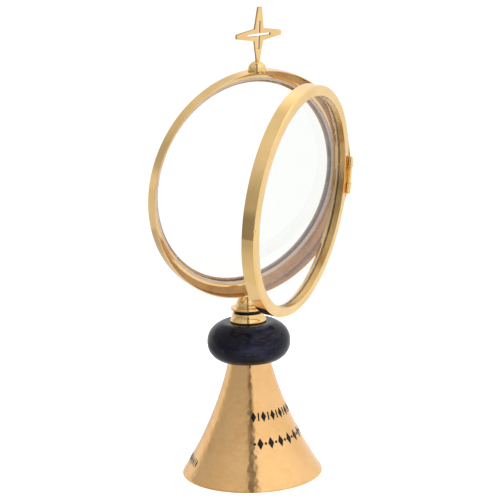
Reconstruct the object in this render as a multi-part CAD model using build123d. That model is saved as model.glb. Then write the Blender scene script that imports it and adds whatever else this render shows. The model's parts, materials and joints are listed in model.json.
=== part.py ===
from build123d import *
import os
from math import cos, radians, sin

# A table monstrance: a hollow flared base, a stone knob and turned rings clamped on one tie rod,
# a round glazed case leaning forward on a dome, a hinged glazed door that sinks into the case,
# and a pierced cross on top. Millimetres, +Z up, the door opens towards -Y, the hinge is on +X.

# Driving dimensions of the base and the stem
BASE_RADIUS = 49.6
BASE_TOP_RADIUS = 14.7
BASE_HEIGHT = 81.5
BASE_HOLLOW = 0.475  # how far the flank is drawn in, as a share of the drop in radius
BASE_WALL = 1.6
KNOB_RADIUS = 29.0
KNOB_MIDDLE_Z = 94.5
KNOB_HALF_HEIGHT = 17.4
KNOB_POWER = 2.26  # 2 is an ellipse, more is squarer
COLLAR_RADIUS = 12.6
ROD_RADIUS = 3.0
KNOB_TOP_Z = 108.6  # height of the flat that the collar stands on
HOLE_CLEARANCE = 0.1

# The stack above the stone
WASHER_THICKNESS = 0.5
UPPER_WASHER_RADIUS = 11.2
COLLAR_HEIGHT = 5.9
SPACER_RADIUS = 9.8
SPACER_HEIGHT = 2.3
DISC_RADIUS = 12.1
DISC_HEIGHT = 1.5
DOME_RADIUS = 8.5
DOME_HEIGHT = 9.4

# Driving dimensions of the case. Depth is counted from the front rim towards the back.
CASE_RADIUS = 80.0
CASE_BOTTOM_Z = 126.1  # height of the case's lowest point on the stem's axis
CASE_LEAN = 8.8  # degrees that the case leans towards its front
RIM_AHEAD_OF_STEM = 1.6
RIM_THICKNESS = 0.8
BAND_DEPTH = 8.1
BORE_RADIUS = 75.0
LEDGE_DEPTH = 9.3
BODY_DEPTH = 13.9
SIGHT_RADIUS = 69.6
GASKET_INNER_RADIUS = 71.4
SNAP_INNER_RADIUS = 73.4
GLASS_THICKNESS = 1.7

# Driving dimensions of the door
DOOR_RADIUS = 78.0
DOOR_DEPTH = 9.4
DOOR_PROUD = 2.5  # how far the closed door's face stands in front of the rim
DOOR_SIGHT_RADIUS = 71.0
DOOR_BORE_RADIUS = 74.6
DOOR_OPEN = 31.2  # degrees open at rest

# Hinge
HINGE_X = 76.5
HINGE_AHEAD_OF_FACE = 1.5
HINGE_HEIGHT = 26.0
KNUCKLE_RADIUS = 1.45
DOOR_KNUCKLE_RADIUS = 1.3
DOOR_KNUCKLE_HEIGHT = 11.0
KNUCKLE_GAP = 0.2
PIN_RADIUS = 0.6
PIN_RUNNING_GAP = 0.05

# Finial
FINIAL_TURN = -1.5  # degrees round the case from its crown
FOOT_RADIUS = 6.3
FOOT_HEIGHT = 6.2
CROSS_ARM_RISE = 24.0  # the arms' level above the case
CROSS_SPAN = 35.4
CROSS_TOP = 18.5
CROSS_PLATE = 1.8

FIT = 0.05  # gap between turned parts that are screwed or seated together
THROUGH = 60.0  # length of a cutter that has to pass right through a ring or a wall


def turned(points):
    """A solid turned about Z from a closed outline of (radius, height)."""
    return revolve(make_face(Plane.XZ * Polyline(*points, close=True)), Axis.Z)


def case_turned(points):
    """A solid turned about the case's own axis from a closed outline of (radius, depth)."""
    return revolve(make_face(Polyline(*points, close=True)), Axis.Y)


def washer(outer, inner, low, height, chamfer_size=0.1):
    """A flat ring about Z with its outer edges eased."""
    c = chamfer_size
    return turned([
        (inner, low),
        (outer - c, low),
        (outer, low + c),
        (outer, low + height - c),
        (outer - c, low + height),
        (inner, low + height),
    ])


def hoop(inner, outer, front, back):
    """A flat ring about the case's axis."""
    return case_turned([(inner, front), (outer, front), (outer, back), (inner, back)])


def split(ring, radius, turn, gap):
    """Cuts a gap in a ring of the case, at an angle counted from +X towards +Z."""
    cutter = Pos(radius, 0, 0) * Box(0.5 * THROUGH, THROUGH, gap)
    return ring - Rot(0, -turn, 0) * cutter


def upright_rod(radius, height, x=0.0, y=0.0, z=0.0):
    """A cylinder about a line along Z, centred on the point given."""
    return Pos(x, y, z) * Cylinder(radius, height)


# The case's own frame has its origin at the case's centre in the plane of the front rim.
CASE_FRAME = Location((0, 0, CASE_BOTTOM_Z)) * Rot(CASE_LEAN, 0, 0)
CASE_FRAME = CASE_FRAME * Pos(0, -RIM_AHEAD_OF_STEM, CASE_RADIUS)

# The hinge axis in the case's own frame
HINGE_Y = -DOOR_PROUD - HINGE_AHEAD_OF_FACE
HINGE_FRAME = CASE_FRAME * Pos(HINGE_X, HINGE_Y, 0)
OPENED = Pos(HINGE_X, HINGE_Y, 0) * Rot(0, 0, DOOR_OPEN) * Pos(-HINGE_X, -HINGE_Y, 0)
DOOR_FRAME = CASE_FRAME * OPENED


# ---- Base -------------------------------------------------------------------------------

def flank(inset=0.0, low=0.0):
    """The base's hollow-sided flank, moved in by inset, as a quadratic curve."""
    drop = BASE_RADIUS - BASE_TOP_RADIUS
    middle = (BASE_RADIUS + BASE_TOP_RADIUS) / 2 - BASE_HOLLOW * drop / 2
    return Bezier(
        (BASE_RADIUS - inset, low),
        (middle - inset, BASE_HEIGHT / 2),
        (BASE_TOP_RADIUS - inset, BASE_HEIGHT),
    )


def flank_body(inset, low, top):
    """The solid under the flank, cut off at the heights given."""
    side = flank(inset, low)
    outline = side + Polyline(side @ 1, (0, BASE_HEIGHT), (0, low), side @ 0)
    body = revolve(make_face(Plane.XZ * outline), Axis.Z)
    slab = Pos(0, 0, (low + top) / 2) * Box(3 * BASE_RADIUS, 3 * BASE_RADIUS, top - low)
    return body & slab


def make_base_cone():
    shell = flank_body(0.0, 0.0, BASE_HEIGHT)
    hollow = flank_body(BASE_WALL, -0.01, BASE_HEIGHT - 2 * BASE_WALL)
    hole = upright_rod(ROD_RADIUS + HOLE_CLEARANCE, 0.5 * THROUGH, z=BASE_HEIGHT)
    return shell - hollow - hole


FOOT_RING_HEIGHT = 3.0
FOOT_RING_WIDTH = 2.4


def make_foot_ring():
    """The stiffening ring soldered inside the base's lower edge."""
    hollow = flank_body(BASE_WALL + FIT, 0.0, FOOT_RING_HEIGHT)
    return hollow - upright_rod(BASE_RADIUS - BASE_WALL - FOOT_RING_WIDTH, THROUGH)


NUT_WASHER_RADIUS = 9.0
NUT_WASHER_THICKNESS = 1.4
NUT_ACROSS_FLATS = 10.0
NUT_HEIGHT = 5.0
ROD_BELOW_NUT = 3.0
ROOF_Z = BASE_HEIGHT - 2 * BASE_WALL


def make_nut_washer():
    low = ROOF_Z - NUT_WASHER_THICKNESS
    return washer(NUT_WASHER_RADIUS, ROD_RADIUS + HOLE_CLEARANCE, low, NUT_WASHER_THICKNESS, 0.2)


def make_rod_nut():
    low = ROOF_Z - NUT_WASHER_THICKNESS - NUT_HEIGHT
    across_corners = NUT_ACROSS_FLATS / cos(radians(30))
    body = extrude(Pos(0, 0, low) * RegularPolygon(across_corners / 2, 6), NUT_HEIGHT)
    crown = turned([
        (0, low),
        (NUT_ACROSS_FLATS / 2, low),
        (across_corners / 2, low + 0.6),
        (across_corners / 2, low + NUT_HEIGHT),
        (0, low + NUT_HEIGHT),
    ])
    return (body & crown) - upright_rod(ROD_RADIUS + FIT, THROUGH, z=low)


# ---- Stem -------------------------------------------------------------------------------

def knob_radius_at(z):
    """The stone's radius at a height."""
    share = (abs(z - KNOB_MIDDLE_Z) / KNOB_HALF_HEIGHT) ** KNOB_POWER
    return KNOB_RADIUS * (1 - share) ** (1 / KNOB_POWER)


KNOB_LOW_Z = BASE_HEIGHT + WASHER_THICKNESS
KNOB_STATIONS = 9


def make_stone_knob():
    """A squarish ellipsoid, flat where it meets the brass, bored for the tie rod."""
    low_radius = knob_radius_at(KNOB_LOW_Z)
    top_radius = knob_radius_at(KNOB_TOP_Z)
    lower = []
    upper = []
    for i in range(KNOB_STATIONS):
        turn = radians(90) * i / KNOB_STATIONS
        radius = KNOB_RADIUS * cos(turn) ** (2 / KNOB_POWER)
        rise = KNOB_HALF_HEIGHT * sin(turn) ** (2 / KNOB_POWER)
        if radius > low_radius + 1:
            lower.insert(0, (radius, KNOB_MIDDLE_Z - rise))
        if radius > top_radius + 1 and i > 0:
            upper.append((radius, KNOB_MIDDLE_Z + rise))
    points = [(low_radius, KNOB_LOW_Z)] + lower + upper + [(top_radius, KNOB_TOP_Z)]
    side = Spline(*points)
    outline = side + Polyline(side @ 1, (0, KNOB_TOP_Z), (0, KNOB_LOW_Z), side @ 0)
    stone = revolve(make_face(Plane.XZ * outline), Axis.Z)
    return stone - upright_rod(ROD_RADIUS + 3 * HOLE_CLEARANCE, THROUGH, z=KNOB_MIDDLE_Z)


COLLAR_LOW_Z = KNOB_TOP_Z + WASHER_THICKNESS
SPACER_LOW_Z = COLLAR_LOW_Z + COLLAR_HEIGHT
DISC_LOW_Z = SPACER_LOW_Z + SPACER_HEIGHT
DOME_LOW_Z = DISC_LOW_Z + DISC_HEIGHT
ROD_IN_DOME = 2.6
COLLAR_EDGE = 0.8
COLLAR_TOP_RADIUS = 11.1
COLLAR_WAIST_RADIUS = 11.0


def make_flared_collar():
    """A ring whose side sweeps in from a thin lower edge to a narrower top."""
    top = COLLAR_LOW_Z + COLLAR_HEIGHT
    sweep = Spline(
        (COLLAR_RADIUS, COLLAR_LOW_Z + COLLAR_EDGE),
        (COLLAR_WAIST_RADIUS, COLLAR_LOW_Z + 0.55 * COLLAR_HEIGHT),
        (COLLAR_TOP_RADIUS, top - 0.3),
    )
    bore = ROD_RADIUS + FIT
    edge = Polyline(
        sweep @ 1,
        (COLLAR_TOP_RADIUS - 0.3, top),
        (bore, top),
        (bore, COLLAR_LOW_Z),
        (COLLAR_RADIUS - 0.2, COLLAR_LOW_Z),
        sweep @ 0,
    )
    return revolve(make_face(Plane.XZ * (sweep + edge)), Axis.Z)


SCREW_RADIUS = 1.5
SCREW_Y = 3.0  # depth of the case screw behind the rim
SCREW_REACH = 3.0
SCREW_HEAD_RADIUS = 2.2
SCREW_HEAD_THICKNESS = 0.7
SCREW_SLOT = 0.6


def case_envelope(gap):
    """The case's outside as a filled solid, a gap larger, for seats that fit it."""
    back = BODY_DEPTH + gap
    outline = [(0, -gap)] + case_outside(gap) + [(0, back)]
    return CASE_FRAME * case_turned(outline)


def case_outside(gap=0.0):
    """The outer side of the case's section, from the rim back."""
    return [
        (CASE_RADIUS + gap, -gap),
        (CASE_RADIUS + gap, BAND_DEPTH),
        (CASE_RADIUS - 0.6 + gap, BAND_DEPTH + 0.6),
        (CASE_RADIUS - 2.4 + gap, BAND_DEPTH + 1.3),
        (CASE_RADIUS - 3.9 + gap, BODY_DEPTH - 0.6),
        (CASE_RADIUS - 4.3 + gap, BODY_DEPTH + gap),
    ]


DOOR_PASSING_GAP = 0.5


def make_dome():
    """The boss that carries the case: a turned dome with a seat cut to the case's outside.
    Its front is lowered to let the closing door pass."""
    slant = cos(radians(45))
    side = Spline(
        (DOME_RADIUS, DOME_LOW_Z),
        (DOME_RADIUS * slant, DOME_LOW_Z + DOME_HEIGHT * slant),
        (0, DOME_LOW_Z + DOME_HEIGHT),
        tangents=[(0, 1), (-1, 0)],
    )
    outline = side + Polyline(side @ 1, (0, DOME_LOW_Z), side @ 0)
    dome = revolve(make_face(Plane.XZ * outline), Axis.Z)
    rod_hole = upright_rod(ROD_RADIUS + FIT, 2 * (ROD_IN_DOME + HOLE_CLEARANCE), z=DOME_LOW_Z)
    screw_hole_length = 2 * (SCREW_REACH + 0.7)
    screw_hole = CASE_FRAME * upright_rod(SCREW_RADIUS + FIT, screw_hole_length, 0, SCREW_Y, -CASE_RADIUS)
    door_room = CASE_FRAME * hoop_disc(DOOR_RADIUS + DOOR_PASSING_GAP, -2 * DOME_RADIUS, FIT)
    return dome - case_envelope(FIT) - door_room - rod_hole - screw_hole


def make_case_screw():
    """The screw through the case's floor into the dome, slotted from inside the case."""
    head_top = -(CASE_RADIUS - RIM_THICKNESS) + SCREW_HEAD_THICKNESS
    length = SCREW_HEAD_THICKNESS + RIM_THICKNESS + SCREW_REACH
    shank = upright_rod(SCREW_RADIUS, length, 0, SCREW_Y, head_top - length / 2)
    head = upright_rod(SCREW_HEAD_RADIUS, SCREW_HEAD_THICKNESS, 0, SCREW_Y,
                       head_top - SCREW_HEAD_THICKNESS / 2)
    inner_wall = Rot(90, 0, 0) * Cylinder(CASE_RADIUS - RIM_THICKNESS - FIT, THROUGH)
    slot = Pos(0, SCREW_Y, head_top) * Box(2 * SCREW_HEAD_RADIUS, SCREW_SLOT, SCREW_HEAD_THICKNESS)
    return CASE_FRAME * (shank + (head & inner_wall) - slot)


# ---- Case -------------------------------------------------------------------------------

SNAP_FRONT = LEDGE_DEPTH + 0.1
SNAP_BACK = SNAP_FRONT + 0.8
GASKET_BACK = SNAP_BACK + 0.8
GLASS_BACK = GASKET_BACK + GLASS_THICKNESS
DOOR_POCKET_DEPTH = DOOR_DEPTH - DOOR_PROUD + 0.5


def make_case_ring():
    """The case's ring: a thin rim round the door's pocket, a ledge, and a bore for the glass."""
    wall = CASE_RADIUS - RIM_THICKNESS
    inside = [
        (BORE_RADIUS, BODY_DEPTH),
        (BORE_RADIUS, SNAP_BACK + FIT),
        (BORE_RADIUS + 0.6, SNAP_BACK + FIT),
        (BORE_RADIUS + 0.6, SNAP_FRONT - FIT),
        (BORE_RADIUS, SNAP_FRONT - FIT),
        (BORE_RADIUS, LEDGE_DEPTH - 0.2),
        (wall, DOOR_POCKET_DEPTH),
        (wall, 0.2),
        (wall + 0.2, 0),
    ]
    ring = case_turned(case_outside() + inside)
    hole_length = 4 * RIM_THICKNESS
    floor_hole = upright_rod(SCREW_RADIUS + FIT, hole_length, 0, SCREW_Y, -CASE_RADIUS)
    crown_hole = upright_rod(SCREW_RADIUS + FIT, hole_length, 0, BAND_DEPTH / 2, CASE_RADIUS)
    return CASE_FRAME * (ring - floor_hole - Rot(0, FINIAL_TURN, 0) * crown_hole)


LIP_GAP_TURN = 222.0  # where the bent lip meets end to end
LIP_GAP = 1.2
SNAP_GAP_TURN = 20.0
SNAP_GAP = 6.0


def make_rear_lip():
    """A bent strip soldered into the back of the case, which the glass rests against."""
    lip = hoop(SIGHT_RADIUS, BORE_RADIUS - FIT, GLASS_BACK, BODY_DEPTH)
    return CASE_FRAME * split(lip, SIGHT_RADIUS, LIP_GAP_TURN, LIP_GAP)


def make_rear_glass():
    return CASE_FRAME * hoop_disc(BORE_RADIUS - 0.3, GASKET_BACK, GLASS_BACK)


def hoop_disc(radius, front, back):
    """A round pane about the case's axis with eased edges."""
    ease = 0.15
    return case_turned([
        (0, front),
        (radius - ease, front),
        (radius, front + ease),
        (radius, back - ease),
        (radius - ease, back),
        (0, back),
    ])


def make_rear_gasket():
    return CASE_FRAME * hoop(GASKET_INNER_RADIUS, BORE_RADIUS - 0.3, SNAP_BACK, GASKET_BACK)


def make_rear_snap_ring():
    ring = hoop(SNAP_INNER_RADIUS, BORE_RADIUS + 0.5, SNAP_FRONT, SNAP_BACK)
    return CASE_FRAME * split(ring, BORE_RADIUS, SNAP_GAP_TURN, SNAP_GAP)


CATCH_HEIGHT = 7.0


def make_catch_spring():
    """A springy pad inside the rim, opposite the hinge, that grips the closed door."""
    wall = CASE_RADIUS - RIM_THICKNESS - FIT
    pad = case_turned([
        (wall, 1.6),
        (wall - 0.35, 1.6),
        (wall - 0.7, 3.2),
        (wall - 0.35, 4.8),
        (wall, 4.8),
    ])
    return CASE_FRAME * (pad & (Pos(-wall, 0, 0) * Box(0.5 * THROUGH, THROUGH, CATCH_HEIGHT)))


# ---- Hinge ------------------------------------------------------------------------------

LEAF_THICKNESS = 0.75
LEAF_DEPTH = 5.5  # how far the case's leaf reaches into the rim
BRIDGE_AHEAD = 3.9  # front of the plate between knuckle and leaf, ahead of the rim
KNUCKLE_ROOM = 7.6  # depth of the notch in the case's leaf that the door's knuckle turns in
DOOR_LEAF_WIDTH = 4.2


def knuckle(radius, height, z):
    """A hinge barrel about the hinge's axis, bored for the pin."""
    bore = PIN_RADIUS + PIN_RUNNING_GAP
    barrel = turned([
        (bore, z - height / 2),
        (radius - 0.15, z - height / 2),
        (radius, z - height / 2 + 0.15),
        (radius, z + height / 2 - 0.15),
        (radius - 0.15, z + height / 2),
        (bore, z + height / 2),
    ])
    return Pos(HINGE_X, HINGE_Y, 0) * barrel


def make_case_hinge():
    """Two knuckles, each on a plate that reaches a leaf soldered inside the case's rim."""
    height = (HINGE_HEIGHT - DOOR_KNUCKLE_HEIGHT) / 2 - KNUCKLE_GAP
    middle = (HINGE_HEIGHT - height) / 2
    pin_bore = upright_rod(PIN_RADIUS + PIN_RUNNING_GAP, 2 * HINGE_HEIGHT, HINGE_X, HINGE_Y)
    outer = CASE_RADIUS - RIM_THICKNESS - FIT
    leaf_zone = Pos(CASE_RADIUS, 0, 0) * Box(0.5 * THROUGH, THROUGH, HINGE_HEIGHT)
    room_height = DOOR_KNUCKLE_HEIGHT + 2 * KNUCKLE_GAP
    knuckle_room = Pos(CASE_RADIUS, HINGE_Y, 0) * Box(0.5 * THROUGH, KNUCKLE_ROOM, room_height)
    hinge = (hoop(outer - LEAF_THICKNESS, outer, -BRIDGE_AHEAD, LEAF_DEPTH) & leaf_zone) - knuckle_room
    bridge_width = outer - HINGE_X
    bridge_x = HINGE_X + bridge_width / 2
    bridge_y = -BRIDGE_AHEAD + LEAF_THICKNESS / 2
    within = Rot(90, 0, 0) * Cylinder(outer, THROUGH)
    for side in (-1, 1):
        hinge += knuckle(KNUCKLE_RADIUS, height, side * middle)
        bridge = Pos(bridge_x, bridge_y, side * middle) * Box(bridge_width, LEAF_THICKNESS, height)
        hinge += bridge & within
    return CASE_FRAME * (hinge - pin_bore)


def make_door_hinge():
    """The middle knuckle on a leaf soldered to the door's face."""
    leaf = Box(DOOR_LEAF_WIDTH, LEAF_THICKNESS / 2, DOOR_KNUCKLE_HEIGHT)
    leaf = Pos(HINGE_X - DOOR_LEAF_WIDTH / 2, -DOOR_PROUD - LEAF_THICKNESS / 4, 0) * leaf
    barrel = knuckle(DOOR_KNUCKLE_RADIUS, DOOR_KNUCKLE_HEIGHT, 0)
    bore = upright_rod(PIN_RADIUS + PIN_RUNNING_GAP, 2 * HINGE_HEIGHT, HINGE_X, HINGE_Y)
    return DOOR_FRAME * (leaf + barrel - bore)


def make_hinge_pin():
    """A plain pin, held in the outer knuckles, with a small head at each end."""
    half = HINGE_HEIGHT / 2
    head = KNUCKLE_RADIUS - 0.35
    pin = turned([
        (0, -half - 0.6),
        (head - 0.3, -half - 0.6),
        (head, -half - 0.3),
        (head, -half),
        (PIN_RADIUS, -half),
        (PIN_RADIUS, half),
        (head, half),
        (head, half + 0.3),
        (head - 0.3, half + 0.6),
        (0, half + 0.6),
    ])
    return HINGE_FRAME * pin


# ---- Door -------------------------------------------------------------------------------

DOOR_FRONT = -DOOR_PROUD
DOOR_BACK = DOOR_DEPTH - DOOR_PROUD
DOOR_CHAMFER = 1.0
DOOR_SEAT = DOOR_FRONT + 4.2
DOOR_GLASS_BACK = DOOR_SEAT + GLASS_THICKNESS
DOOR_SNAP_FRONT = DOOR_GLASS_BACK + 0.8
DOOR_SNAP_BACK = DOOR_SNAP_FRONT + 0.8
NOTCH_TURN = 179.0  # the finger notch, opposite the hinge
NOTCH_RADIUS = 1.3


def make_door_ring():
    """The door's ring: a bright face with a bevelled edge, and a seat for the glass behind."""
    ring = case_turned([
        (DOOR_RADIUS, DOOR_BACK - 0.3),
        (DOOR_RADIUS, DOOR_FRONT + DOOR_CHAMFER),
        (DOOR_RADIUS - DOOR_CHAMFER, DOOR_FRONT),
        (DOOR_SIGHT_RADIUS + 0.4, DOOR_FRONT),
        (DOOR_SIGHT_RADIUS, DOOR_FRONT + 0.4),
        (DOOR_SIGHT_RADIUS, DOOR_SEAT),
        (DOOR_BORE_RADIUS, DOOR_SEAT),
        (DOOR_BORE_RADIUS, DOOR_SNAP_FRONT - FIT),
        (DOOR_BORE_RADIUS + 0.6, DOOR_SNAP_FRONT - FIT),
        (DOOR_BORE_RADIUS + 0.6, DOOR_SNAP_BACK + FIT),
        (DOOR_BORE_RADIUS, DOOR_SNAP_BACK + FIT),
        (DOOR_BORE_RADIUS, DOOR_BACK),
        (DOOR_RADIUS - 0.3, DOOR_BACK),
    ])
    notch = Pos(DOOR_RADIUS + 0.4, DOOR_FRONT, 0) * Sphere(NOTCH_RADIUS)
    return DOOR_FRAME * (ring - Rot(0, -NOTCH_TURN, 0) * notch)


def make_door_glass():
    return DOOR_FRAME * hoop_disc(DOOR_BORE_RADIUS - 0.3, DOOR_SEAT, DOOR_GLASS_BACK)


def make_door_gasket():
    inner = DOOR_SIGHT_RADIUS + 0.4
    return DOOR_FRAME * hoop(inner, DOOR_BORE_RADIUS - 0.3, DOOR_GLASS_BACK, DOOR_SNAP_FRONT)


def make_door_snap_ring():
    inner = DOOR_SIGHT_RADIUS + 1.8
    ring = hoop(inner, DOOR_BORE_RADIUS + 0.5, DOOR_SNAP_FRONT, DOOR_SNAP_BACK)
    return DOOR_FRAME * split(ring, DOOR_BORE_RADIUS, SNAP_GAP_TURN, SNAP_GAP)


# ---- Finial -----------------------------------------------------------------------------

FINIAL_FRAME = CASE_FRAME * Rot(0, FINIAL_TURN, 0) * Pos(0, BAND_DEPTH / 2, CASE_RADIUS)
CORNER_X = 3.5
CORNER_Z = 4.0
TIP_HALF = 1.5
TENON_HALF = 1.3
TENON_LOW = 2.6
SLOT_ACROSS = 18.0
SLOT_UP = 18.8
SLOT_WIDTH_ACROSS = 1.7
SLOT_WIDTH_UP = 1.4


def make_cross():
    """A pierced plate cross with tapering blunt arms, its lower arm ending in a tenon."""
    half = CROSS_SPAN / 2
    rise = CROSS_ARM_RISE
    right_side = [
        (TIP_HALF, rise + CROSS_TOP),
        (CORNER_X, rise + CORNER_Z),
        (half, rise + TIP_HALF),
        (half, rise - TIP_HALF),
        (CORNER_X, rise - CORNER_Z),
        (TENON_HALF, FOOT_HEIGHT + 1),
        (TENON_HALF, TENON_LOW),
    ]
    left_side = [(-x, z) for x, z in reversed(right_side)]
    plate = make_face(Plane.XZ * Polyline(*right_side, *left_side, close=True))
    plate = extrude(plate, CROSS_PLATE / 2, both=True)
    across = Pos(0, 0, rise) * Box(SLOT_ACROSS, THROUGH, SLOT_WIDTH_ACROSS)
    upward = Pos(0, 0, rise) * Box(SLOT_WIDTH_UP, THROUGH, SLOT_UP)
    return FINIAL_FRAME * (plate - across - upward)


def make_cross_foot():
    """A small dome seated on the case's band and slotted for the cross."""
    side = EllipticalCenterArc((0, 0), FOOT_RADIUS, FOOT_HEIGHT, 0, arc_size=90)
    seat_low = -1.0  # below the band's surface, which cuts the seat
    outline = side + Polyline(side @ 1, (0, seat_low), (FOOT_RADIUS, seat_low), side @ 0)
    dome = revolve(make_face(Plane.XZ * outline), Axis.Z)
    tenon_room = Box(2 * (TENON_HALF + FIT), CROSS_PLATE + 2 * FIT, THROUGH)
    tenon_room = Pos(0, 0, TENON_LOW - FIT + THROUGH / 2) * tenon_room
    screw_hole = upright_rod(SCREW_RADIUS + FIT, 2 * (TENON_LOW - 2 * HOLE_CLEARANCE))
    foot = FINIAL_FRAME * (dome - tenon_room - screw_hole)
    return foot - case_envelope(FIT)


FINIAL_SCREW_LENGTH = 3.6


def make_finial_screw():
    """The screw from inside the case's crown into the cross's foot."""
    head_low = -RIM_THICKNESS - SCREW_HEAD_THICKNESS
    length = FINIAL_SCREW_LENGTH
    shank = upright_rod(SCREW_RADIUS, length, z=head_low + length / 2)
    head = upright_rod(SCREW_HEAD_RADIUS, SCREW_HEAD_THICKNESS, z=head_low + SCREW_HEAD_THICKNESS / 2)
    wall = Rot(90, 0, 0) * Cylinder(CASE_RADIUS - RIM_THICKNESS - FIT, THROUGH)
    wall = Pos(0, 0, -CASE_RADIUS) * wall
    slot = Pos(0, 0, head_low) * Box(2 * SCREW_HEAD_RADIUS, SCREW_SLOT, SCREW_HEAD_THICKNESS)
    return FINIAL_FRAME * (shank + (head & wall) - slot)


# ---- The whole --------------------------------------------------------------------------

rod_low_z = ROOF_Z - NUT_WASHER_THICKNESS - NUT_HEIGHT - ROD_BELOW_NUT
rod_length = DOME_LOW_Z + ROD_IN_DOME - rod_low_z
loose = ROD_RADIUS + HOLE_CLEARANCE
tapped = ROD_RADIUS + FIT

PARTS = {
    "base_cone": make_base_cone(),
    "foot_ring": make_foot_ring(),
    "nut_washer": make_nut_washer(),
    "rod_nut": make_rod_nut(),
    "tie_rod": chamfer(upright_rod(ROD_RADIUS, rod_length, z=rod_low_z + rod_length / 2)
                       .edges().filter_by(GeomType.CIRCLE), 0.5),
    "lower_washer": washer(BASE_TOP_RADIUS - 0.4, loose, BASE_HEIGHT, WASHER_THICKNESS),
    "stone_knob": make_stone_knob(),
    "upper_washer": washer(UPPER_WASHER_RADIUS, loose, KNOB_TOP_Z, WASHER_THICKNESS, 0.15),
    "flared_collar": make_flared_collar(),
    "neck_spacer": washer(SPACER_RADIUS, tapped, SPACER_LOW_Z, SPACER_HEIGHT),
    "neck_disc": washer(DISC_RADIUS, tapped, DISC_LOW_Z, DISC_HEIGHT, 0.5),
    "dome_boss": make_dome(),
    "case_screw": make_case_screw(),
    "case_ring": make_case_ring(),
    "rear_lip": make_rear_lip(),
    "rear_glass": make_rear_glass(),
    "rear_gasket": make_rear_gasket(),
    "rear_snap_ring": make_rear_snap_ring(),
    "catch_spring": make_catch_spring(),
    "case_hinge": make_case_hinge(),
    "hinge_pin": make_hinge_pin(),
    "door_hinge": make_door_hinge(),
    "door_ring": make_door_ring(),
    "door_glass": make_door_glass(),
    "door_gasket": make_door_gasket(),
    "door_snap_ring": make_door_snap_ring(),
    "cross_foot": make_cross_foot(),
    "cross": make_cross(),
    "finial_screw": make_finial_screw(),
}

os.makedirs("parts", exist_ok=True)
for name, part in PARTS.items():
    export_step(part, f"parts/{name}.step")

hinge_point = HINGE_FRAME.position
hinge_axis = Vector(0, 0, 1).rotate(Axis.X, CASE_LEAN)
print("hinge point mm", hinge_point.X, hinge_point.Y, hinge_point.Z)
print("hinge axis", hinge_axis.X, hinge_axis.Y, hinge_axis.Z)
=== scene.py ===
import json
from math import asin, ceil, cos, hypot, pi, radians, sin

import bmesh
import bpy
import numpy as np
from mathutils import Matrix, Vector
from mathutils.kdtree import KDTree


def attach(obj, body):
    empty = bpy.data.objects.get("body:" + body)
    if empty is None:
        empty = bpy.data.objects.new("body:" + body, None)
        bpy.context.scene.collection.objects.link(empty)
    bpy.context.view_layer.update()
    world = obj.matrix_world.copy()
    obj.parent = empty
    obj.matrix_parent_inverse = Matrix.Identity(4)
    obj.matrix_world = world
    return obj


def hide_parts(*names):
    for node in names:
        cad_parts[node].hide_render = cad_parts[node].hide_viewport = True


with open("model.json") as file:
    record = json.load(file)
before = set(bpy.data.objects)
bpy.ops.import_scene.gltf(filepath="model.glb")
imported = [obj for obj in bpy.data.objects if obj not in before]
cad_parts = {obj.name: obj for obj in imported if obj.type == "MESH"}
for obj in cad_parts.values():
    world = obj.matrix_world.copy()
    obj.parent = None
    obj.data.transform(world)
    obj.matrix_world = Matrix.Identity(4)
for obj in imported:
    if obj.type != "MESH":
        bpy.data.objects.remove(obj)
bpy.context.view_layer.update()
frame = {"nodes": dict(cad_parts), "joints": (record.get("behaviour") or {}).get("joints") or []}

# The looks of a gilt table monstrance: hammered base with enamel ornament, dark stone knob,
# polished case and door, and a pierced cross. Lengths are in millimetres until they reach a mesh.

MM = 0.001
scene = bpy.context.scene
random = np.random.default_rng(7)


# ---- Frames of the leaning case and of its open door --------------------------------------

hinge = frame["joints"][0]
hinge_point = Vector(hinge["pos_m"])
hinge_axis = Vector(hinge["axis"])
door_opening = radians(-hinge["range_deg"][0])
LEAN = Matrix.Rotation(asin(-hinge_axis.y), 4, "X")


def points_in(node_name, place):
    """A CAD node's vertices in the frame given, in metres."""
    to_place = place.inverted()
    return np.array([to_place @ v.co for v in frame["nodes"][node_name].data.vertices])


ring_points = points_in("case_ring", LEAN)
ring_low, ring_high = ring_points.min(0), ring_points.max(0)
CASE = LEAN @ Matrix.Translation((0, ring_low[1], (ring_low[2] + ring_high[2]) / 2))
OPENED = (Matrix.Translation(hinge_point) @ Matrix.Rotation(door_opening, 4, hinge_axis)
          @ Matrix.Translation(-hinge_point))
DOOR = OPENED @ CASE
STEM = Matrix.Identity(4)
DEPTH_FROM_HEIGHT = Matrix.Rotation(radians(-90), 4, "X")  # a turned outline's height becomes depth
AROUND_DEPTH = CASE @ DEPTH_FROM_HEIGHT
AROUND_DOOR = DOOR @ DEPTH_FROM_HEIGHT


def reach(node_name, place, axis):
    """(least radius, greatest radius, lowest, highest) of a CAD node about an axis of a frame, in mm."""
    points = points_in(node_name, place) / MM
    radii = np.linalg.norm(np.delete(points, axis, 1), axis=1)
    return radii.min(), radii.max(), points[:, axis].min(), points[:, axis].max()


# ---- Mesh helpers --------------------------------------------------------------------------

def eased(corners, steps=3):
    """A closed outline of (radius, height, ease) corners as (radius, height, normal) points.
    An ease above 0 rounds the corner by that much, and 0 marks a point on a smooth curve."""
    points = []
    count = len(corners)
    for i, (r, z, ease) in enumerate(corners):
        here = Vector((r, z))
        before = Vector(corners[i - 1][:2]) - here
        after = Vector(corners[(i + 1) % count][:2]) - here
        normal_in = Vector((-before.y, before.x)).normalized()
        normal_out = Vector((after.y, -after.x)).normalized()
        if ease <= 0:
            points.append((r, z, (normal_in + normal_out).normalized()))
            continue
        cut = min(ease, 0.45 * before.length, 0.45 * after.length)
        start = here + before.normalized() * cut
        end = here + after.normalized() * cut
        for step in range(steps + 1):
            t = step / steps
            spot = start * (1 - t) ** 2 + here * 2 * t * (1 - t) + end * t * t
            points.append((spot.x, spot.y, normal_in.lerp(normal_out, t).normalized()))
    return points


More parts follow.
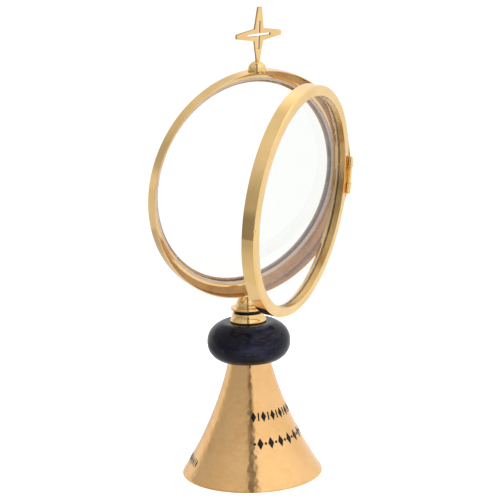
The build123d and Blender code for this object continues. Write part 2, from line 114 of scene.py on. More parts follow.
def even_turns(count):
    return [2 * pi * i / count for i in range(count)]


def turned(name, corners, place, turns, closed=True):
    """A piece turned about the place's Z axis from an outline, counter-clockwise in (radius, height).
    Its UVs run round the piece and along the outline, in metres."""
    outline = eased(corners)
    rows = len(outline)
    vertices = []
    normals = []
    for turn in turns:
        c, s = cos(turn), sin(turn)
        for r, z, n in outline:
            vertices.append((r * c * MM, r * s * MM, z * MM))
            normals.append((n.x * c, n.x * s, n.y))
    along = [0.0]
    for i in range(rows):
        a, b = outline[i], outline[(i + 1) % rows]
        along.append(along[-1] + hypot(b[0] - a[0], b[1] - a[1]) * MM)
    faces = []
    uvs = []
    count = len(turns)
    for j in range(count if closed else count - 1):
        k = (j + 1) % count
        step = (turns[k] - turns[j]) % (2 * pi)
        for i in range(rows):
            m = (i + 1) % rows
            faces.append((j * rows + i, k * rows + i, k * rows + m, j * rows + m))
            r = outline[i][0] * MM
            u0, u1 = turns[j] * r, (turns[j] + step) * r
            uvs += [(u0, along[i]), (u1, along[i]), (u1, along[i + 1]), (u0, along[i + 1])]
    if not closed:
        faces.append(tuple(range(rows)))
        faces.append(tuple((count - 1) * rows + i for i in reversed(range(rows))))
        uvs += [(outline[i][0] * MM, outline[i][1] * MM) for i in range(rows)] * 2
    mesh = bpy.data.meshes.new(name)
    mesh.from_pydata(vertices, [], faces)
    mesh.uv_layers.new(name="turned").data.foreach_set("uv", np.array(uvs).ravel())
    mesh.polygons.foreach_set("use_smooth", [True] * len(faces))
    mesh.normals_split_custom_set_from_vertices(normals)
    mesh.transform(place)
    mesh.update()
    return mesh


def add_piece(name, mesh, body, material, slot, *nodes):
    """Puts a mesh in the scene as a piece of the object, on a body, standing for CAD nodes."""
    piece = bpy.data.objects.new(name, mesh)
    scene.collection.objects.link(piece)
    mesh.materials.append(material)
    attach(piece, body)
    if nodes:
        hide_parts(*nodes)
    return piece


# ---- Materials -----------------------------------------------------------------------------

def new_material(name):
    material = bpy.data.materials.new(name)
    material.use_nodes = True
    tree = material.node_tree
    return material, tree, tree.nodes["Principled BSDF"]


def node(tree, kind, **settings):
    made = tree.nodes.new(kind)
    for key, value in settings.items():
        setattr(made, key, value)
    return made


def noise(tree, vector, scale, detail=4.0, roughness=0.55, stretch=(1, 1, 1)):
    """A noise texture's value over the vector given, finer along an axis with a larger stretch."""
    mapping = node(tree, "ShaderNodeMapping")
    mapping.inputs["Scale"].default_value = stretch
    tree.links.new(vector, mapping.inputs["Vector"])
    texture = node(tree, "ShaderNodeTexNoise")
    texture.inputs["Scale"].default_value = scale
    texture.inputs["Detail"].default_value = detail
    texture.inputs["Roughness"].default_value = roughness
    tree.links.new(mapping.outputs["Vector"], texture.inputs["Vector"])
    return texture.outputs["Fac"]


def ramp(tree, value, stops):
    """A colour ramp of (position, colour) stops."""
    made = node(tree, "ShaderNodeValToRGB")
    elements = made.color_ramp.elements
    while len(elements) < len(stops):
        elements.new(0.5)
    for element, (position, colour) in zip(elements, stops):
        element.position = position
        element.color = (*colour, 1)
    tree.links.new(value, made.inputs["Fac"])
    return made.outputs["Color"]


def spread(tree, value, least, most, low=0.3, high=0.7):
    """Maps a noise value, which mostly lies between low and high, to least and most."""
    made = node(tree, "ShaderNodeMapRange")
    made.inputs["From Min"].default_value = low
    made.inputs["From Max"].default_value = high
    made.inputs["To Min"].default_value = least
    made.inputs["To Max"].default_value = most
    tree.links.new(value, made.inputs["Value"])
    return made.outputs["Result"]


def combine(tree, operation, first, second, clamp=False):
    """A maths node's result for two values, each a number or another node's result."""
    made = node(tree, "ShaderNodeMath", operation=operation, use_clamp=clamp)
    for socket, value in zip(made.inputs, (first, second)):
        if isinstance(value, (int, float)):
            socket.default_value = value
        else:
            tree.links.new(value, socket)
    return made.outputs["Value"]


def bump(tree, shader, height, distance):
    made = node(tree, "ShaderNodeBump")
    made.inputs["Distance"].default_value = distance
    tree.links.new(height, made.inputs["Height"])
    tree.links.new(made.outputs["Normal"], shader.inputs["Normal"])


GRAIN_IN_GLOSS = 0.4  # how much the grain counts in the gloss, where the smudges count 1
TURNED_GRAIN = 900
PLAIN_GRAIN = 2500


def metal(name, colour, worn_colour, rough, grain_depth, grain=PLAIN_GRAIN, coordinates="Object",
          stretch=(1, 1, 1)):
    """A metal whose colour and gloss vary in soft patches, with a fine grain from its finishing.
    The roughness lies between the two values of rough."""
    material, tree, shader = new_material(name)
    places = node(tree, "ShaderNodeTexCoord")
    patches = noise(tree, places.outputs["Object"], 60, detail=3)
    tint = ramp(tree, patches, [(0.3, worn_colour), (0.62, colour)])
    tree.links.new(tint, shader.inputs["Base Color"])
    shader.inputs["Metallic"].default_value = 1
    lines = noise(tree, places.outputs[coordinates], grain, detail=2, stretch=stretch)
    smudges = noise(tree, places.outputs["Object"], 140, detail=5)
    uneven = combine(tree, "ADD", combine(tree, "MULTIPLY", lines, GRAIN_IN_GLOSS), smudges)
    tree.links.new(spread(tree, uneven, *rough, low=0.5, high=0.9), shader.inputs["Roughness"])
    bump(tree, shader, lines, grain_depth)
    return material


def lathe_metal(name, colour, worn_colour, rough, grain_depth, fineness=4):
    """A metal whose grain runs round the piece, as a lathe leaves it."""
    return metal(name, colour, worn_colour, rough, grain_depth, TURNED_GRAIN, "UV", (0.02, fineness, 1))


GOLD = (0.95, 0.66, 0.30)
GOLD_DEEP = (0.88, 0.58, 0.23)
gold_turned = lathe_metal("gold turned", GOLD, GOLD_DEEP, (0.03, 0.10), 0.0000015, 6)
gold_wall = lathe_metal("gold satin", GOLD, GOLD_DEEP, (0.10, 0.22), 0.000004)
# painted shade: a darker, browner copy of the gold for the shaded hollow of the case and its lip
gold_inside_painted_shade = lathe_metal("gold inside painted shade", (0.55, 0.31, 0.13), (0.42, 0.22, 0.085), (0.22, 0.38), 0.000005)
# painted shade: a darker copy of the gold for the door's shaded sight wall in front of the glass
gold_bore_painted_shade = lathe_metal("gold bore painted shade", (0.74, 0.49, 0.20), (0.62, 0.39, 0.15), (0.12, 0.25), 0.000004)
gold_plain = metal("gold polished", GOLD, GOLD_DEEP, (0.04, 0.12), 0.000001)
gold_hammered = metal("gold hammered", (0.94, 0.58, 0.26), (0.86, 0.50, 0.20), (0.14, 0.25), 0.000006,
                      grain=500)
gold_edge = metal("gold sawn edge", (0.60, 0.38, 0.15), (0.42, 0.25, 0.09), (0.35, 0.55), 0.00001,
                  grain=3000)
# painted shade: a near-black metal for the neck spacer, standing for the shade in the groove between
# disc and collar
blackened = metal("brass painted groove shade", (0.03, 0.026, 0.02), (0.014, 0.012, 0.01), (0.3, 0.5), 0.000004)
brass_plain = metal("brass plain", (0.68, 0.50, 0.22), (0.52, 0.36, 0.15), (0.25, 0.45), 0.000006)
steel = metal("steel plated", (0.56, 0.57, 0.58), (0.42, 0.42, 0.42), (0.25, 0.42), 0.000006)


def make_stone():
    """A polished dark blue stone: black and navy clouds, grey veins and a few brown flecks."""
    material, tree, shader = new_material("stone")
    places = node(tree, "ShaderNodeTexCoord").outputs["Object"]
    clouds = noise(tree, places, 45, detail=6, stretch=(1, 1, 2.2))
    base = ramp(tree, clouds, [(0.35, (0.004, 0.004, 0.007)), (0.52, (0.010, 0.010, 0.022)),
                               (0.70, (0.035, 0.035, 0.075))])
    veins = noise(tree, places, 110, detail=8, roughness=0.7, stretch=(1, 1, 4))
    vein_mask = ramp(tree, veins, [(0.60, (0, 0, 0)), (0.74, (1, 1, 1))])
    flecks = noise(tree, places, 300, detail=3, stretch=(1, 1, 2))
    fleck_mask = ramp(tree, flecks, [(0.64, (0, 0, 0)), (0.70, (1, 1, 1))])
    colour = base
    for mask, tint, share in ((vein_mask, (0.09, 0.09, 0.12), 0.7),
                              (fleck_mask, (0.11, 0.07, 0.05), 0.5)):
        mix = node(tree, "ShaderNodeMix", data_type="RGBA")
        tree.links.new(combine(tree, "MULTIPLY", mask, share), mix.inputs["Factor"])
        tree.links.new(colour, mix.inputs[6])
        mix.inputs[7].default_value = (*tint, 1)
        colour = mix.outputs[2]
    tree.links.new(colour, shader.inputs["Base Color"])
    gloss = noise(tree, places, 180, detail=4)
    tree.links.new(spread(tree, gloss, 0.08, 0.18), shader.inputs["Roughness"])
    shader.inputs["IOR"].default_value = 1.5
    shader.inputs["Specular IOR Level"].default_value = 0.15
    bump(tree, shader, veins, 0.00001)
    return material


def make_enamel(name, colour):
    """Vitreous enamel: dark, glossy, a little pitted."""
    material, tree, shader = new_material(name)
    places = node(tree, "ShaderNodeTexCoord").outputs["Object"]
    pits = noise(tree, places, 2200, detail=3)
    dark = tuple(0.6 * c for c in colour)
    tree.links.new(ramp(tree, pits, [(0.35, dark), (0.65, colour)]), shader.inputs["Base Color"])
    tree.links.new(spread(tree, pits, 0.25, 0.5), shader.inputs["Roughness"])
    shader.inputs["Specular IOR Level"].default_value = 0.2
    bump(tree, shader, pits, 0.00002)
    return material


def make_silicone():
    """Pale translucent silicone, slightly uneven."""
    material, tree, shader = new_material("silicone")
    places = node(tree, "ShaderNodeTexCoord").outputs["Object"]
    cloud = noise(tree, places, 160, detail=4)
    tint = ramp(tree, cloud, [(0.3, (0.82, 0.64, 0.53)), (0.7, (0.92, 0.77, 0.68))])
    tree.links.new(tint, shader.inputs["Base Color"])
    tree.links.new(spread(tree, cloud, 0.3, 0.5), shader.inputs["Roughness"])
    bump(tree, shader, cloud, 0.00004)
    return material


PANE_IOR = 1.8  # stands for the reflections of both faces, which the front one carries alone


def make_glass():
    """Clear flat glass: what is behind shows straight through, under a reflection that grows
    at a slant."""
    material, tree, shader = new_material("glass")
    tree.nodes.remove(shader)
    places = node(tree, "ShaderNodeTexCoord").outputs["Object"]
    clear = node(tree, "ShaderNodeBsdfTransparent")
    clear.inputs["Color"].default_value = (0.99, 0.995, 0.99, 1)
    mirror = node(tree, "ShaderNodeBsdfGlossy")
    smears = noise(tree, places, 25, detail=5)
    tree.links.new(spread(tree, smears, 0.015, 0.06), mirror.inputs["Roughness"])
    fresnel = node(tree, "ShaderNodeFresnel")
    fresnel.inputs["IOR"].default_value = PANE_IOR
    front = combine(tree, "SUBTRACT", 1, node(tree, "ShaderNodeNewGeometry").outputs["Backfacing"])
    mix = node(tree, "ShaderNodeMixShader")
    tree.links.new(combine(tree, "MULTIPLY", fresnel.outputs["Fac"], front), mix.inputs["Fac"])
    tree.links.new(clear.outputs["BSDF"], mix.inputs[1])
    tree.links.new(mirror.outputs["BSDF"], mix.inputs[2])
    output = next(n for n in tree.nodes if n.type == "OUTPUT_MATERIAL")
    tree.links.new(mix.outputs["Shader"], output.inputs["Surface"])
    return material


stone = make_stone()
enamel_black = make_enamel("enamel black", (0.012, 0.012, 0.015))
enamel_teal = make_enamel("enamel teal", (0.015, 0.06, 0.07))
silicone = make_silicone()
glass = make_glass()


# ---- Base ----------------------------------------------------------------------------------

_, base_radius, _, base_height = reach("base_cone", STEM, 2)
_, washer_radius, _, _ = reach("lower_washer", STEM, 2)
FLANK_HOLLOW = 0.475  # how far the flank is drawn in, as a share of the drop in radius
WALL = 1.6
WASHER_INSET = 0.4  # how far the washer under the stone stands back from the base's top edge
HOLE_RADIUS = 3.1
top_radius = washer_radius + WASHER_INSET
flank_middle = (base_radius + top_radius) / 2 - FLANK_HOLLOW * (base_radius - top_radius) / 2


def flank_radius(z, inset=0.0):
    """The base's radius at a height."""
    t = z / base_height
    return (base_radius * (1 - t) ** 2 + 2 * flank_middle * t * (1 - t) + top_radius * t * t) - inset


FLANK_ROWS = 130
INNER_ROWS = 24
BASE_TURNS = 480
roof = base_height - 2 * WALL
outline = [(base_radius - WALL, 0, 0.15), (base_radius - 0.5, 0, 0.15)]
outline += [(flank_radius(z) - 0.25 * max(0, 1 - z), z, 0)
            for z in np.linspace(0.5, base_height - 0.4, FLANK_ROWS)]
outline += [(top_radius - 0.3, base_height, 0.1), (HOLE_RADIUS, base_height, 0.1),
            (HOLE_RADIUS, roof, 0.1)]
outline += [(flank_radius(z, WALL), z, 0) for z in np.linspace(roof - 0.5, 0.8, INNER_ROWS)]
base_mesh = turned("base_hammered", outline, STEM, even_turns(BASE_TURNS))

# Hammer marks: shallow overlapping bowls over the flank, in rows that don't line up
MARK_SPACING = 3.4
MARK_DEPTH = 0.12
MARK_REACH = 0.8 * MARK_SPACING  # radius of a mark, and the rise from row to row
marks = []
for z in np.arange(0, base_height, MARK_REACH):
    r = flank_radius(z)
    count = ceil(2 * pi * r / MARK_SPACING)
    for turn in (np.arange(count) + random.uniform(-0.42, 0.42, count)) * 2 * pi / count:
        rise = z + random.uniform(-0.4, 0.4) * MARK_SPACING
        marks.append((r * cos(turn), r * sin(turn), rise))
mark_depths = random.uniform(0.45, 1, len(marks)) * MARK_DEPTH
nearest_mark = KDTree(len(marks))
for i, mark in enumerate(marks):
    nearest_mark.insert(mark, i)
nearest_mark.balance()
for vertex in base_mesh.vertices:
    spot = vertex.co / MM
    r = hypot(spot.x, spot.y)
    if spot.z < 0.4 or spot.z > base_height - 0.5 or r < flank_radius(spot.z) - 0.6:
        continue
    _, which, distance = nearest_mark.find(spot)
    sunk = mark_depths[which] * max(0, 1 - (distance / MARK_REACH) ** 2)
    vertex.co *= Vector((1 - sunk / r, 1 - sunk / r, 1))
base_mesh.attributes.remove(base_mesh.attributes["custom_normal"])
add_piece("base_hammered", base_mesh, "stand", gold_hammered, "gold_hammered", "base_cone")


def lozenge(half_width, half_height):
    """Corners and mid-sides of a lozenge."""
    return [(half_width, 0), (half_width / 2, half_height / 2), (0, half_height),
            (-half_width / 2, half_height / 2), (-half_width, 0),
            (-half_width / 2, -half_height / 2), (0, -half_height), (half_width / 2, -half_height / 2)]


def dot(radius):
    return [(radius * cos(t), radius * sin(t)) for t in even_turns(12)]


def bar(half_width, half_height):
    return [(half_width, -half_height), (half_width, 0), (half_width, half_height),
            (-half_width, half_height), (-half_width, 0), (-half_width, -half_height)]


INLAY_PROUD = 0.04
INLAY_SUNK = 0.4


def inlay(name, tiles, material):
    """Enamel tiles let into the flank. Each tile is (turn, height, outline on the surface)."""
    mesh = bmesh.new()
    for turn, height, shape in tiles:
        rings = []
        for lift in (INLAY_PROUD, -INLAY_SUNK):
            ring = []
            for across, up in [(0, 0)] + shape:
                z = height + up
                r = flank_radius(z) + lift
                angle = turn + across / flank_radius(z)
                ring.append(mesh.verts.new((r * cos(angle) * MM, r * sin(angle) * MM, z * MM)))
            rings.append(ring)
        (top_middle, *top), (low_middle, *low_ring) = rings
        for i in range(len(top)):
            k = (i + 1) % len(top)
            mesh.faces.new((top_middle, top[i], top[k]))
            mesh.faces.new((top[i], low_ring[i], low_ring[k], top[k]))
            mesh.faces.new((low_middle, low_ring[k], low_ring[i]))
    data = bpy.data.meshes.new(name)
    mesh.to_mesh(data)
    mesh.free()
    add_piece(name, data, "stand", material, "gold_hammered")


FRONT = radians(-90)  # the turn at which the base faces -Y


def band(first_degrees, last_degrees, height, pitch, shapes):
    """Tiles along a level line from one turn to another, with the shapes taken in order."""
    tiles = []
    step = pitch / flank_radius(height)
    count = int(radians(last_degrees - first_degrees) / step)
    for i in range(count + 1):
        tiles.append((FRONT + radians(first_degrees) + i * step, height, shapes[i % len(shapes)]))
    return tiles


upper_line = band(-30, 62, 46.5, 3.6, [lozenge(1.9, 3.5), bar(0.5, 2.6)])
lower_line = band(-30, 62, 29.5, 3.9, [dot(0.9), lozenge(2.2, 3.8)])
side_line = band(-160, -98, 11.5, 3.0, [bar(0.45, 2.6), lozenge(1.1, 2.6)])
inlay("ornament_front", upper_line + lower_line, enamel_black)
inlay("ornament_side", side_line, enamel_teal)


# ---- Stem ----------------------------------------------------------------------------------

KNOB_POWER = 2.26  # 2 is an ellipse, more is squarer
KNOB_HALF_HEIGHT = 17.4
KNOB_MIDDLE = 94.5
SHOULDER_EASE = 3.0  # rounding where the stone's side turns into its flat top and underside
SHOULDER_POINTS = 8  # points of the side that each rounding takes the place of
KNOB_STEPS = 60
STEM_TURNS = 192
knob_hole, knob_radius, knob_low, knob_top = reach("stone_knob", STEM, 2)
_, collar_radius, collar_low, collar_top = reach("flared_collar", STEM, 2)


def knob_outline():
    """The stone's section, flat where it meets the brass, with an eased rim there."""
    low_turn = asin(((KNOB_MIDDLE - knob_low) / KNOB_HALF_HEIGHT) ** (KNOB_POWER / 2))
    high_turn = asin(((knob_top - KNOB_MIDDLE) / KNOB_HALF_HEIGHT) ** (KNOB_POWER / 2))
    side = []
    for turn in np.linspace(-low_turn, high_turn, KNOB_STEPS):
        rise = abs(sin(turn)) ** (2 / KNOB_POWER) * KNOB_HALF_HEIGHT
        z = KNOB_MIDDLE + (rise if turn > 0 else -rise)
        side.append((knob_radius * cos(turn) ** (2 / KNOB_POWER), z, 0))
    shoulder = (side[-1][0], knob_top, SHOULDER_EASE)
    underside = (side[0][0], knob_low, SHOULDER_EASE)
    side = [underside] + side[SHOULDER_POINTS:-SHOULDER_POINTS] + [shoulder]
    return [(knob_hole, knob_low, 0.1)] + side + [(knob_hole, knob_top, 0.1)]


add_piece("stone_polished", turned("stone_polished", knob_outline(), STEM, even_turns(STEM_TURNS)),
          "stand", stone, "stone", "stone_knob")


def ring(node_name, ease):
    """A ring of plain square section with eased edges, the size of a CAD node of the stem."""
    inner, outer, bottom, top = reach(node_name, STEM, 2)
    return [(inner, bottom, 0.1), (outer, bottom, ease), (outer, top, ease), (inner, top, 0.1)]


for node_name, ease, material, slot in (("lower_washer", 0.25, gold_turned, "gold_polished"),
                                        ("upper_washer", 0.28, gold_turned, "gold_polished"),
                                        # the spacer is black as painted shade in the groove
                                        ("neck_spacer", 0.3, blackened, "blackened"),
                                        ("neck_disc", 0.7, gold_turned, "gold_polished")):
    name = f"{node_name}_turned"
    mesh = turned(name, ring(node_name, ease), STEM, even_turns(STEM_TURNS))
    add_piece(name, mesh, "stand", material, slot, node_name)

COLLAR_TOP_RADIUS = 11.1
COLLAR_DRAW = 10.7  # radius that the side is drawn towards between its edge and its top
COLLAR_EDGE = 0.8  # height of the upright lower edge
COLLAR_BREAK = 0.3  # height of the broken edge at the top
COLLAR_STEPS = 14
sweep_height = collar_top - collar_low - COLLAR_EDGE - COLLAR_BREAK
sweep = []
for t in np.linspace(0, 1, COLLAR_STEPS)[1:]:
    curve = collar_radius * (1 - t) ** 2 + 2 * COLLAR_DRAW * t * (1 - t) + COLLAR_TOP_RADIUS * t * t
    sweep.append((curve, collar_low + COLLAR_EDGE + t * sweep_height, 0))
collar_outline = [(HOLE_RADIUS, collar_low, 0.1), (collar_radius - 0.1, collar_low, 0.15),
                  (collar_radius, collar_low + 0.4, 0.15)]
collar_outline += sweep
collar_outline += [(COLLAR_TOP_RADIUS - 0.2, collar_top, 0.1), (HOLE_RADIUS, collar_top, 0.1)]
add_piece("collar_turned", turned("collar_turned", collar_outline, STEM, even_turns(STEM_TURNS)),
          "stand", gold_turned, "gold_polished", "flared_collar")


# ---- Case ----------------------------------------------------------------------------------

CASE_TURNS = 320
bore, case_radius, _, case_back = reach("case_ring", CASE, 1)
RIM = 0.8
POCKET = 7.4  # depth of the door's pocket
GROOVE = (9.35, 10.25)  # depths of the snap ring's groove
GROOVE_CUT = 0.6
case_outline = [
    (case_radius - RIM + 0.2, 0, 0.12),
    (case_radius, 0, 0.3),
    (case_radius, 8.1, 0.25),
    (case_radius - 0.6, 8.7, 0.25),
    (case_radius - 2.4, 9.4, 0.4),
    (case_radius - 3.9, case_back - 0.6, 0.3),
    (case_radius - 4.3, case_back, 0.15),
    (bore, case_back, 0.1),
    (bore, GROOVE[1], 0.08),
    (bore + GROOVE_CUT, GROOVE[1], 0.08),
    (bore + GROOVE_CUT, GROOVE[0], 0.08),
    (bore, GROOVE[0], 0.08),
    (bore, 9.1, 0.1),
    (case_radius - RIM, POCKET, 0.5),
    (case_radius - RIM, 0.2, 0.1),
]
case_mesh = turned("case_turned", case_outline, AROUND_DEPTH, even_turns(CASE_TURNS))
INWARD = -0.4  # a face's turn towards the centre, as a cosine, past which it is on the inside
for face in case_mesh.polygons:  # the inside gets a darker, browner colour: painted shade in the case's hollow
    outward = (face.center - CASE.translation).normalized()
    face.material_index = 1 if face.normal.dot(outward) < INWARD else 0
add_piece("case_turned", case_mesh, "stand", gold_wall, "gold_polished", "case_ring")
case_mesh.materials.append(gold_inside_painted_shade)

LIP_GAP_TURN = 222.0  # where the bent ring of the lip meets end to end
LIP_GAP = 1.2
lip_inner, lip_outer, lip_front, lip_back = reach("rear_lip", CASE, 1)
half_gap = LIP_GAP / 2 / lip_inner
lip_turns = [radians(-LIP_GAP_TURN) + half_gap + i * (2 * pi - 2 * half_gap) / CASE_TURNS
             for i in range(CASE_TURNS + 1)]
lip_outline = [(lip_inner, lip_front, 0.2), (lip_outer, lip_front, 0.1),
               (lip_outer, lip_back, 0.1), (lip_inner, lip_back, 0.25)]
# the lip takes the darker inside gold: painted shade in the case's hollow
add_piece("rear_lip_bent", turned("rear_lip_bent", lip_outline, AROUND_DEPTH, lip_turns, closed=False),
          "stand", gold_inside_painted_shade, "gold_polished", "rear_lip")


# ---- Door ----------------------------------------------------------------------------------

sight, door_radius, door_front, door_back = reach("door_ring", DOOR, 1)
_, pane_radius, pane_front, _ = reach("door_glass", DOOR, 1)
_, _, snap_front, snap_back = reach("door_snap_ring", DOOR, 1)
PANE_ROOM = 0.3
door_bore = pane_radius + PANE_ROOM
BEVEL = 1.0
door_outline = [
    (sight, door_front, 0.5),
    (door_radius - BEVEL, door_front, 0.25),
    (door_radius, door_front + BEVEL, 0.3),
    (door_radius, door_back, 0.3),
    (door_bore, door_back, 0.15),
    (door_bore, snap_back, 0.08),
    (door_bore + GROOVE_CUT, snap_back, 0.08),
    (door_bore + GROOVE_CUT, snap_front, 0.08),
    (door_bore, snap_front, 0.08),
    (door_bore, pane_front, 0.08),
    (sight, pane_front, 0.15),
]
NOTCH_TURN = 179.0  # the finger notch, opposite the hinge
NOTCH_RADIUS = 1.3
NOTCH_OUT = 0.4  # how far the notch's centre lies outside the door
NOTCH_SPAN = 2.4  # degrees each side of the notch with finer steps
NOTCH_STEPS = 41
notch_turn = radians(-NOTCH_TURN) % (2 * pi)
door_turns = even_turns(CASE_TURNS)
door_turns += [notch_turn + radians(NOTCH_SPAN) * t for t in np.linspace(-1, 1, NOTCH_STEPS)]
door_turns.sort()
door_mesh = turned("door_turned", door_outline, Matrix.Identity(4), door_turns)


def press_notch(mesh):
    """A round dent in the door's front edge, for a finger nail."""
    where = Vector((cos(notch_turn), sin(notch_turn), 0)) * (door_radius + NOTCH_OUT) * MM
    centre = where + Vector((0, 0, door_front * MM))
    normals = [Vector(n.vector) for n in mesh.corner_normals]
    for corner, loop in enumerate(mesh.loops):
        spot = mesh.vertices[loop.vertex_index].co
        if (spot - centre).length < NOTCH_RADIUS * MM * 1.001:
            normals[corner] = (centre - spot).normalized()
    for vertex in mesh.vertices:
        away = vertex.co - centre
        if away.length < NOTCH_RADIUS * MM:
            vertex.co = centre + away.normalized() * NOTCH_RADIUS * MM
    mesh.normals_split_custom_set(normals)


press_notch(door_mesh)
WALL_REACH = 0.3  # how far from the sight opening's wall a face still counts as part of it
for face in door_mesh.polygons:  # the wall in front of the glass gets a darker colour: painted shade
    if face.center.xy.length < (sight + WALL_REACH) * MM:
        face.material_index = 1
door_mesh.transform(AROUND_DOOR)
add_piece("door_turned", door_mesh, "door", gold_turned, "gold_polished", "door_ring")
door_mesh.materials.append(gold_bore_painted_shade)


# ---- Cross ---------------------------------------------------------------------------------

FINIAL_TURN = radians(-1.5)
CROWN = Matrix.Rotation(FINIAL_TURN, 4, "Y")
cross_points = points_in("cross", CASE) / MM @ np.array(CROWN.to_3x3())  # in the cross's upright frame
cross_low = cross_points.min(0)
cross_high = cross_points.max(0)
half_span = (cross_high[0] - cross_low[0]) / 2
middle = (cross_high[0] + cross_low[0]) / 2
plate = (cross_low[1] + cross_high[1]) / 2
CROSS_TOP = 18.5
arm_level = cross_high[2] - CROSS_TOP
CORNER_ACROSS, CORNER_UP = 3.5, 4.0
TIP = 1.5
TENON = 1.3
TENON_TOP = -16.8  # where the lower arm's taper ends, from the arms' level
right = [(TIP, CROSS_TOP), (CORNER_ACROSS, CORNER_UP), (half_span, TIP), (half_span, -TIP),
         (CORNER_ACROSS, -CORNER_UP), (TENON, TENON_TOP), (TENON, cross_low[2] - arm_level)]
outer_loop = right + [(-x, z) for x, z in reversed(right)]
across_x, across_z = 9.0, 0.85  # half length and half width of the slot's level arm
up_x, up_z = 0.7, 9.4  # half width and half length of its upright arm
quarter = [(across_x, across_z), (up_x, across_z), (up_x, up_z)]
slot_loop = quarter + [(-x, z) for x, z in reversed(quarter)]
slot_loop += [(-x, -z) for x, z in quarter] + [(x, -z) for x, z in reversed(quarter)]
CROSS_BEVEL = 0.14


def make_cross():
    """A plate with a cross-shaped slot, its edges finely bevelled."""
    mesh = bmesh.new()
    half = (cross_high[1] - cross_low[1]) / 2
    for loop in (outer_loop, slot_loop):
        verts = [mesh.verts.new((x, -half, z)) for x, z in loop]
        for a, b in zip(verts, verts[1:] + verts[:1]):
            mesh.edges.new((a, b))
    bmesh.ops.triangle_fill(mesh, use_beauty=True, edges=mesh.edges[:])
    bmesh.ops.dissolve_limit(mesh, angle_limit=0.01, verts=mesh.verts[:], edges=mesh.edges[:])
    pushed = bmesh.ops.extrude_face_region(mesh, geom=mesh.faces[:])["geom"]
    moved = [g for g in pushed if isinstance(g, bmesh.types.BMVert)]
    bmesh.ops.translate(mesh, verts=moved, vec=(0, 2 * half, 0))
    bmesh.ops.recalc_face_normals(mesh, faces=mesh.faces[:])
    sharp = [e for e in mesh.edges if e.calc_face_angle(0) > radians(5)]
    bmesh.ops.bevel(mesh, geom=sharp, offset=CROSS_BEVEL, segments=2, profile=0.6, affect="EDGES",
                    clamp_overlap=True)
    for face in mesh.faces:
        face.material_index = 1 if abs(face.normal.y) < 0.5 else 0
    data = bpy.data.meshes.new("cross_bevelled")
    mesh.to_mesh(data)
    mesh.free()
    data.transform(Matrix.Scale(MM, 4))
    place = Matrix.Translation(Vector((middle, plate, arm_level)) * MM)
    data.transform(CASE @ CROWN @ place)
    return data


cross = add_piece("cross_bevelled", make_cross(), "stand", gold_plain, "gold_polished", "cross")
cross.data.materials.append(gold_edge)


# ---- Finish of the CAD nodes that stay ---------------------------------------------------------

CAD_FINISH = {
    "foot_ring": brass_plain, "nut_washer": brass_plain, "rod_nut": brass_plain, "tie_rod": steel,
    "dome_boss": gold_plain, "case_screw": gold_plain, "catch_spring": gold_plain,
    "case_hinge": gold_plain, "hinge_pin": gold_plain, "door_hinge": gold_plain,
    "cross_foot": gold_plain, "finial_screw": gold_plain,
    "rear_snap_ring": gold_plain, "door_snap_ring": gold_plain,
    "rear_gasket": silicone, "door_gasket": silicone, "rear_glass": glass, "door_glass": glass,
}
for node_name, material in CAD_FINISH.items():
    slots = frame["nodes"][node_name].data.materials
    for i in range(len(slots)):
        slots[i] = material


# ---- Stage: floor, light tent, camera --------------------------------------------------------

VIEW_TURN = radians(33.7)  # how far round the front the camera stands, on the side away from the hinge
VIEW_RISE = radians(11.95)
VIEW_DISTANCE = 1.2235
VIEW_ROLL = radians(-1.58)
AIM_HEIGHT = 0.15869
AIM_SIDE = 0.00253
LENS = 127.99

to_camera = Vector((-sin(VIEW_TURN) * cos(VIEW_RISE), -cos(VIEW_TURN) * cos(VIEW_RISE),
                    sin(VIEW_RISE)))
side = Vector((cos(VIEW_TURN), -sin(VIEW_TURN), 0))
upward = to_camera.cross(side)
rolled_side = side * cos(VIEW_ROLL) + upward * sin(VIEW_ROLL)
rolled_up = upward * cos(VIEW_ROLL) - side * sin(VIEW_ROLL)
eye = Vector((0, 0, AIM_HEIGHT)) + side * AIM_SIDE + to_camera * VIEW_DISTANCE

camera = bpy.data.objects.new("camera", bpy.data.cameras.new("camera"))
scene.collection.objects.link(camera)
camera.data.lens = LENS
camera.data.sensor_width = 36
camera.data.clip_start = 0.05
camera.data.clip_end = 50
turn_matrix = Matrix((rolled_side, rolled_up, to_camera)).transposed()
camera.matrix_world = Matrix.Translation(eye) @ turn_matrix.to_4x4()
scene.camera = camera


FLOOR_RADIUS = 0.45
FLOOR_CORNERS = 96
FLOOR_GLOW = 0.15
FLOOR_WHITE = 0.7  # glow that only the camera sees


def make_floor():
    """A pale floor that the camera sees as plain white. In reflections it is darker on the side
    away from the hinge, as painted shade."""
    material, tree, shader = new_material("floor")
    across = node(tree, "ShaderNodeVectorMath", operation="DOT_PRODUCT")
    tree.links.new(node(tree, "ShaderNodeTexCoord").outputs["Object"], across.inputs[0])
    across.inputs[1].default_value = side
    # painted shade: the floor's colour darkens towards the left, which mostly reflections show
    dark, pale = (0.42, 0.42, 0.42), (0.93, 0.93, 0.93)
    shade = spread(tree, across.outputs["Value"], 0, 1, low=-0.25, high=-0.02)
    tree.links.new(ramp(tree, shade, [(0, dark), (1, pale)]), shader.inputs["Base Color"])
    seen = node(tree, "ShaderNodeLightPath").outputs["Is Camera Ray"]
    glow = combine(tree, "ADD", combine(tree, "MULTIPLY", seen, FLOOR_WHITE), FLOOR_GLOW)
    tree.links.new(glow, shader.inputs["Emission Strength"])
    shader.inputs["Emission Color"].default_value = (1, 1, 1, 1)
    shader.inputs["Roughness"].default_value = 0.8
    shader.inputs["Specular IOR Level"].default_value = 0.1
    return material


floor_edge = [(FLOOR_RADIUS * cos(t), FLOOR_RADIUS * sin(t), 0) for t in even_turns(FLOOR_CORNERS)]
floor_mesh = bpy.data.meshes.new("floor")
floor_mesh.from_pydata(floor_edge, [], [tuple(range(FLOOR_CORNERS))])
floor_mesh.materials.append(make_floor())
floor = bpy.data.objects.new("floor", floor_mesh)
scene.collection.objects.link(floor)

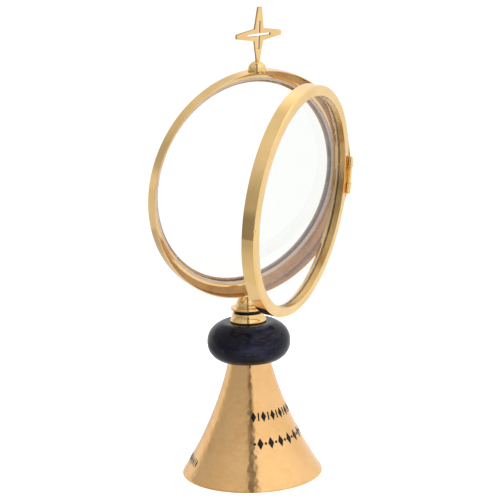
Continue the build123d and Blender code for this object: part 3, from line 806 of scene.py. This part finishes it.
TENT_LEVEL = 0.95
TENT_TOP = 0.32  # light added towards the zenith
TENT_DIM = 0.45  # light taken away on the left
TENT_UNDER = 0.2  # light taken away low on the far left
DIM_FALL = 1.2  # how steeply the dim part ends towards the low back
SLIT_HALF_WIDTH = 0.09  # as the sine of an angle
SLIT_LEVEL = 0.12  # light left in the slit
BACKDROP = 1.1  # white behind the object, which only the camera sees


def light_tent():
    """White light from all round, weaker from the left and a little stronger from above, with a
    dark upright slit where the camera looks in."""
    world = bpy.data.worlds.new("tent")
    scene.world = world
    world.use_nodes = True
    tree = world.node_tree
    background = tree.nodes["Background"]
    direction = node(tree, "ShaderNodeTexCoord").outputs["Generated"]

    def facing(towards, start, end):
        """0 to 1 as a direction turns towards the vector given."""
        product = node(tree, "ShaderNodeVectorMath", operation="DOT_PRODUCT")
        tree.links.new(direction, product.inputs[0])
        product.inputs[1].default_value = towards
        made = node(tree, "ShaderNodeMapRange", interpolation_type="SMOOTHSTEP")
        made.inputs["From Min"].default_value = start
        made.inputs["From Max"].default_value = end
        tree.links.new(product.outputs["Value"], made.inputs["Value"])
        return made.outputs["Result"]

    level = Vector((to_camera.x, to_camera.y, 0)).normalized()
    above = facing(level + Vector((0, 0, DIM_FALL)), -0.45, -0.1)
    left = facing(-side, -0.02, 0.16)
    dim = combine(tree, "MULTIPLY", combine(tree, "MULTIPLY", above, left), TENT_DIM)
    below = facing(Vector((0, 0, -1)), -0.05, 0.15)
    far_left = facing(-side, 0.4, 0.7)
    under = combine(tree, "MULTIPLY", combine(tree, "MULTIPLY", below, far_left), TENT_UNDER)
    top = combine(tree, "MULTIPLY", facing(Vector((0, 0, 1)), 0.2, 0.9), TENT_TOP)
    lit = combine(tree, "SUBTRACT", top, combine(tree, "ADD", dim, under))
    lit = combine(tree, "ADD", lit, TENT_LEVEL)
    right_of_slit = facing(side, SLIT_HALF_WIDTH, 1.4 * SLIT_HALF_WIDTH)
    left_of_slit = facing(-side, SLIT_HALF_WIDTH, 1.4 * SLIT_HALF_WIDTH)
    beside = combine(tree, "ADD", right_of_slit, left_of_slit, clamp=True)
    behind = facing(-level, -0.1, 0.0)
    clear = combine(tree, "ADD", spread(tree, beside, SLIT_LEVEL, 1, low=0, high=1), behind, clamp=True)
    strength = combine(tree, "MULTIPLY", lit, clear)
    choose = node(tree, "ShaderNodeMix", data_type="FLOAT")
    seen = node(tree, "ShaderNodeLightPath").outputs["Is Camera Ray"]
    tree.links.new(seen, choose.inputs["Factor"])
    tree.links.new(strength, choose.inputs[2])
    choose.inputs[3].default_value = BACKDROP
    tree.links.new(choose.outputs[0], background.inputs["Strength"])
    background.inputs["Color"].default_value = (1, 1, 1, 1)


light_tent()
scene.view_settings.view_transform = "Standard"
